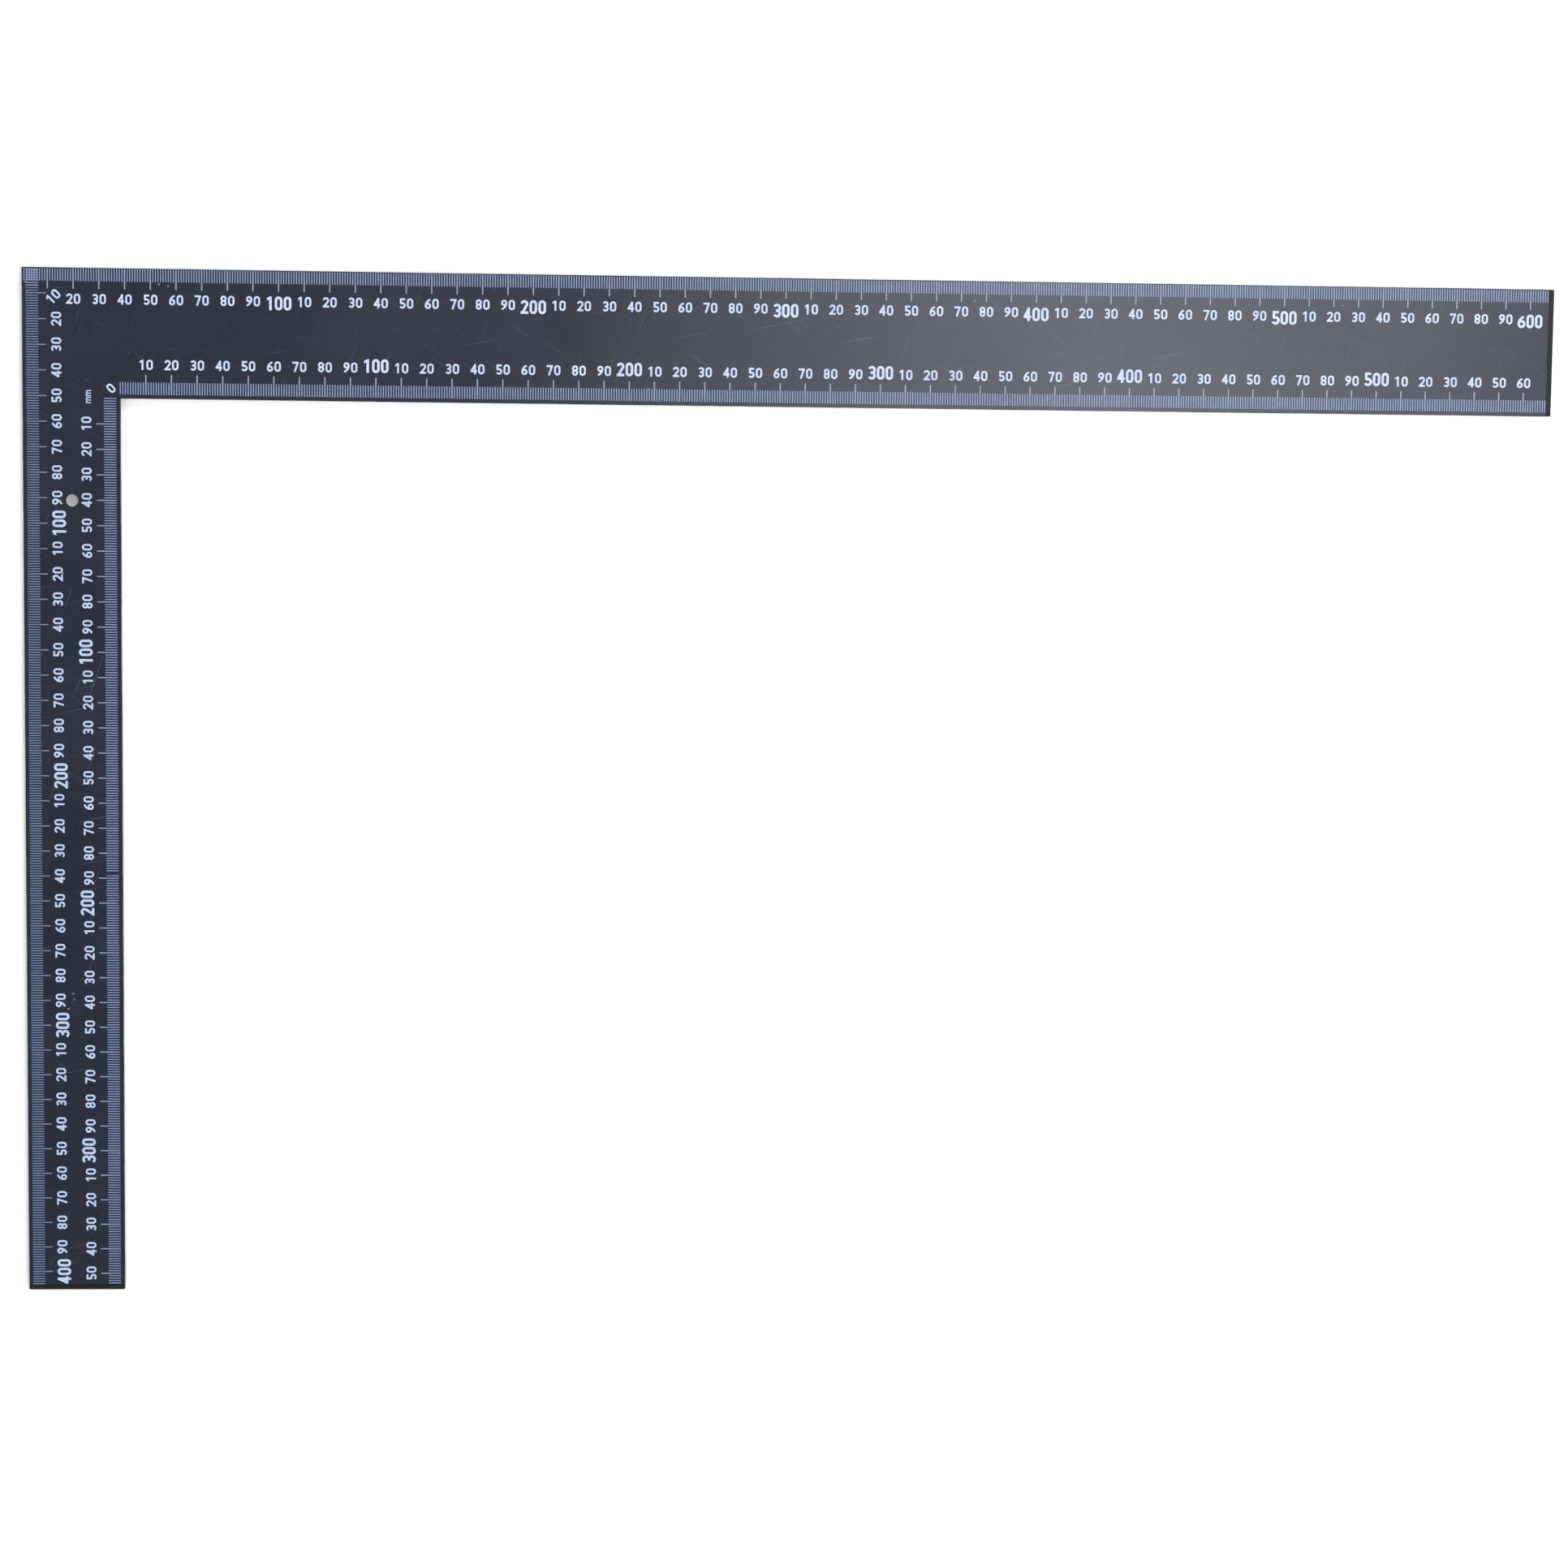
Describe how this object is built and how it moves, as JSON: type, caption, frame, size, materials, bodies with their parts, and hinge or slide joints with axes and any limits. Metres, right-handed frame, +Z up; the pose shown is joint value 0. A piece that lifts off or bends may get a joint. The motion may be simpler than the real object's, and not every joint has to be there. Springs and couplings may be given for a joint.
{
  "type": "steel square ruler",
  "caption": "L-shaped steel square with a black coat, a charcoal face and white millimetre scales along all four long edges, with a hanging hole in the short arm.",
  "frame": {"origin": "the heel: the outer corner of the square, at the bottom face, where both outer scales start", "axes": "+X along the long arm's outer edge, the short arm runs along -Y, +Z up out of the printed face, the bottom face lies on Z = 0"},
  "size_m": [0.6096, 0.4074, 0.0021],
  "materials": {
    "black_coat": "satin black baked coat on steel",
    "charcoal_enamel": "satin charcoal enamel",
    "white_ink": "matt white printed ink"
  },
  "bodies": {
    "root": {"steel_blank": "black_coat", "face_enamel": "charcoal_enamel", "outer_corner_hatch": "white_ink", "outer_corner_ten": "white_ink", "inner_corner_zero": "white_ink", "unit_mark": "white_ink", "outer_long_millimetre_lines": "white_ink", "outer_long_centimetre_lines": "white_ink", "outer_long_tens_numerals": "white_ink", "outer_long_hundreds_numerals": "white_ink", "inner_long_millimetre_lines": "white_ink", "inner_long_centimetre_lines": "white_ink", "inner_long_tens_numerals": "white_ink", "inner_long_hundreds_numerals": "white_ink", "outer_short_millimetre_lines": "white_ink", "outer_short_centimetre_lines": "white_ink", "outer_short_tens_numerals": "white_ink", "outer_short_hundreds_numerals": "white_ink", "inner_short_millimetre_lines": "white_ink", "inner_short_centimetre_lines": "white_ink", "inner_short_tens_numerals": "white_ink", "inner_short_hundreds_numerals": "white_ink"}
  },
  "joints": []
}
